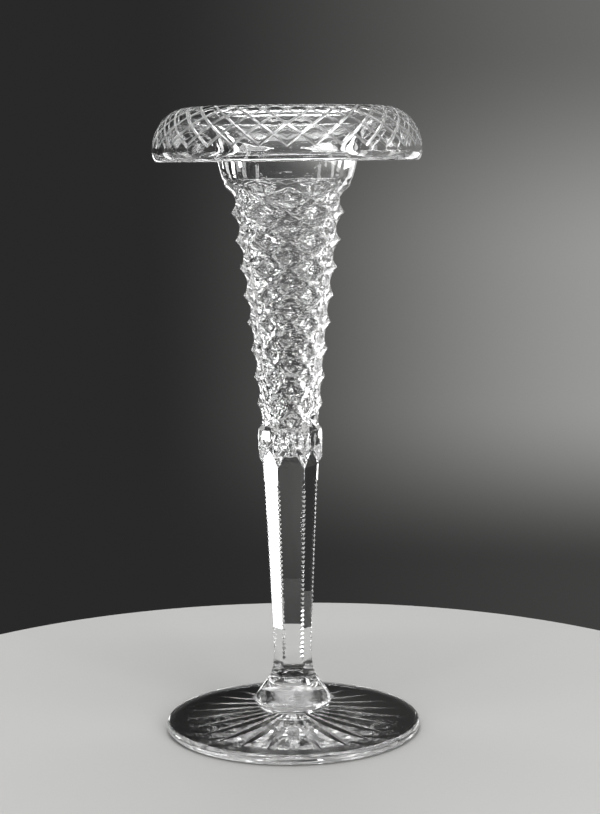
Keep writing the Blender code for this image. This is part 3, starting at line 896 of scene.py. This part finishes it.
def floor_material():
    """Matt pale floor."""
    material = bpy.data.materials.new("pale_floor")
    material.use_nodes = True
    shader = material.node_tree.nodes["Principled BSDF"]
    shader.inputs["Base Color"].default_value = FLOOR_COLOUR
    shader.inputs["Roughness"].default_value = FLOOR_ROUGHNESS
    shader.inputs["Specular IOR Level"].default_value = FLOOR_SPECULAR
    return material


def make_floor():
    """Pale round table top, a hair's breadth under the vase."""
    middle = -FLOOR_THICKNESS / 2 - FLOOR_CLEARANCE
    bpy.ops.mesh.primitive_cylinder_add(vertices=FLOOR_COLUMNS, radius=FLOOR_RADIUS,
                                        depth=FLOOR_THICKNESS, location=(0, 0, middle))
    floor = bpy.context.object
    floor.name = "floor"
    bevel = floor.modifiers.new("edge", "BEVEL")
    bevel.width = FLOOR_BEVEL
    bevel.segments = FLOOR_BEVEL_STEPS
    floor.data.materials.append(floor_material())


def make_lamp(name, bearing, height, distance, size, power):
    """A soft rectangular lamp that faces the axis of the vase; bearings grow from the front to +X."""
    data = bpy.data.lights.new(name, "AREA")
    data.shape = "RECTANGLE"
    data.size = size[0]
    data.size_y = size[1]
    data.energy = power
    lamp = bpy.data.objects.new(name, data)
    angle = math.radians(bearing)
    lamp.location = (distance * math.sin(angle), -distance * math.cos(angle), height)
    fall = math.atan2(distance, height - LAMP_AIM)
    lamp.rotation_euler = Euler((fall, 0, angle))
    lamp.visible_camera = False
    lamp.visible_glossy = name not in UNMIRRORED_LAMPS
    bpy.context.collection.objects.link(lamp)


def pale_band(tree, height):
    """How pale the backdrop is at a height, from the stops of its band."""
    low = BACKDROP_BAND[0][0]
    high = BACKDROP_BAND[-1][0]
    band = add_node(tree, "ShaderNodeValToRGB", {"Fac": ranged(tree, height, (low, high))})
    stops = band.color_ramp.elements
    band.color_ramp.interpolation = "EASE"
    for stop_height, paleness in BACKDROP_BAND[1:-1]:
        stops.new((stop_height - low) / (high - low))
    for stop, (stop_height, paleness) in zip(stops, BACKDROP_BAND):
        stop.color = (paleness, paleness, paleness, 1)
    return band.outputs["Color"]


def backdrop_colour(tree):
    """Dark grey with a pale band to the right, and a pale room in front of the vase and above it."""
    direction = tree.nodes.new("ShaderNodeTexCoord").outputs["Generated"]
    parts = add_node(tree, "ShaderNodeSeparateXYZ", {"Vector": direction}).outputs
    aside = ranged(tree, parts["X"], BACKDROP_EDGE, blend="SMOOTHSTEP")
    in_band = worked_out(tree, "MULTIPLY", aside, pale_band(tree, parts["Z"]))
    shade = mixed_colour(tree, in_band, BACKDROP_DARK, BACKDROP_PALE)

    towards_room = add_node(tree, "ShaderNodeVectorMath", {0: direction, 1: ROOM_SIDE})
    towards_room.operation = "DOT_PRODUCT"
    turn = ranged(tree, towards_room.outputs["Value"], ROOM_BLEND, blend="SMOOTHERSTEP")
    high = ranged(tree, parts["Z"], ROOM_LEVEL, blend="SMOOTHERSTEP")
    in_room = worked_out(tree, "MULTIPLY", turn, high)
    return mixed_colour(tree, in_room, shade, ROOM_PALE)


def shows_backdrop(tree):
    """1 for what the camera sees, also in and through the glass, and 0 for light on the floor."""
    path = tree.nodes.new("ShaderNodeLightPath").outputs
    either = worked_out(tree, "MAXIMUM", path["Is Camera Ray"], path["Is Glossy Ray"])
    seen = worked_out(tree, "MAXIMUM", either, path["Is Transmission Ray"])
    straight = worked_out(tree, "LESS_THAN", path["Diffuse Depth"], BEFORE_BOUNCE)
    return worked_out(tree, "MULTIPLY", seen, straight)


def make_world():
    """Dark grey surroundings, paler to one side, that the glass shows; even soft light for the rest."""
    world = bpy.data.worlds.new("studio")
    bpy.context.scene.world = world
    world.use_nodes = True
    tree = world.node_tree
    backdrop = tree.nodes["Background"]
    tree.links.new(backdrop_colour(tree), backdrop.inputs["Color"])
    soft = add_node(tree, "ShaderNodeBackground", {"Color": SOFT_LIGHT})
    choose = add_node(tree, "ShaderNodeMixShader", {
        "Fac": shows_backdrop(tree),
        1: soft.outputs["Background"],
        2: backdrop.outputs["Background"],
    })
    tree.links.new(choose.outputs["Shader"], tree.nodes["World Output"].inputs["Surface"])


def make_camera():
    """The photograph's viewpoint, level with the rim's lip and tilted down a little."""
    data = bpy.data.cameras.new("camera")
    data.sensor_width = SENSOR_WIDTH
    data.lens = FOCAL_PIXELS / IMAGE_HEIGHT * SENSOR_WIDTH
    camera = bpy.data.objects.new("camera", data)
    camera.location = (0, -EYE_DISTANCE, EYE_HEIGHT)
    aim = Euler((QUARTER_TURN - CAMERA_PITCH, 0, CAMERA_YAW)).to_matrix()
    camera.rotation_euler = (aim @ Euler((0, 0, CAMERA_ROLL)).to_matrix()).to_euler()
    bpy.context.collection.objects.link(camera)
    bpy.context.scene.camera = camera


def set_rendering():
    """Plain colours, enough bounces for cut glass, and no light focused through it onto the floor."""
    scene = bpy.context.scene
    scene.view_settings.view_transform = "Standard"
    scene.cycles.caustics_refractive = False
    scene.cycles.max_bounces = GLASS_BOUNCES
    scene.cycles.transmission_bounces = GLASS_BOUNCES
    scene.cycles.glossy_bounces = GLOSSY_BOUNCES
    scene.cycles.transparent_max_bounces = JOINT_BOUNCES


def make_studio():
    """Floor, surroundings, lamps and camera."""
    make_floor()
    make_world()
    for lamp in LAMPS:
        make_lamp(*lamp)
    make_camera()
    set_rendering()


def main():
    """The materials, the four pieces of glass and the studio."""
    joint_material()
    for finish in FINISHES:
        glass_material(*finish)
    make_foot()
    make_knop()
    make_stem()
    make_bowl()
    make_studio()


main()
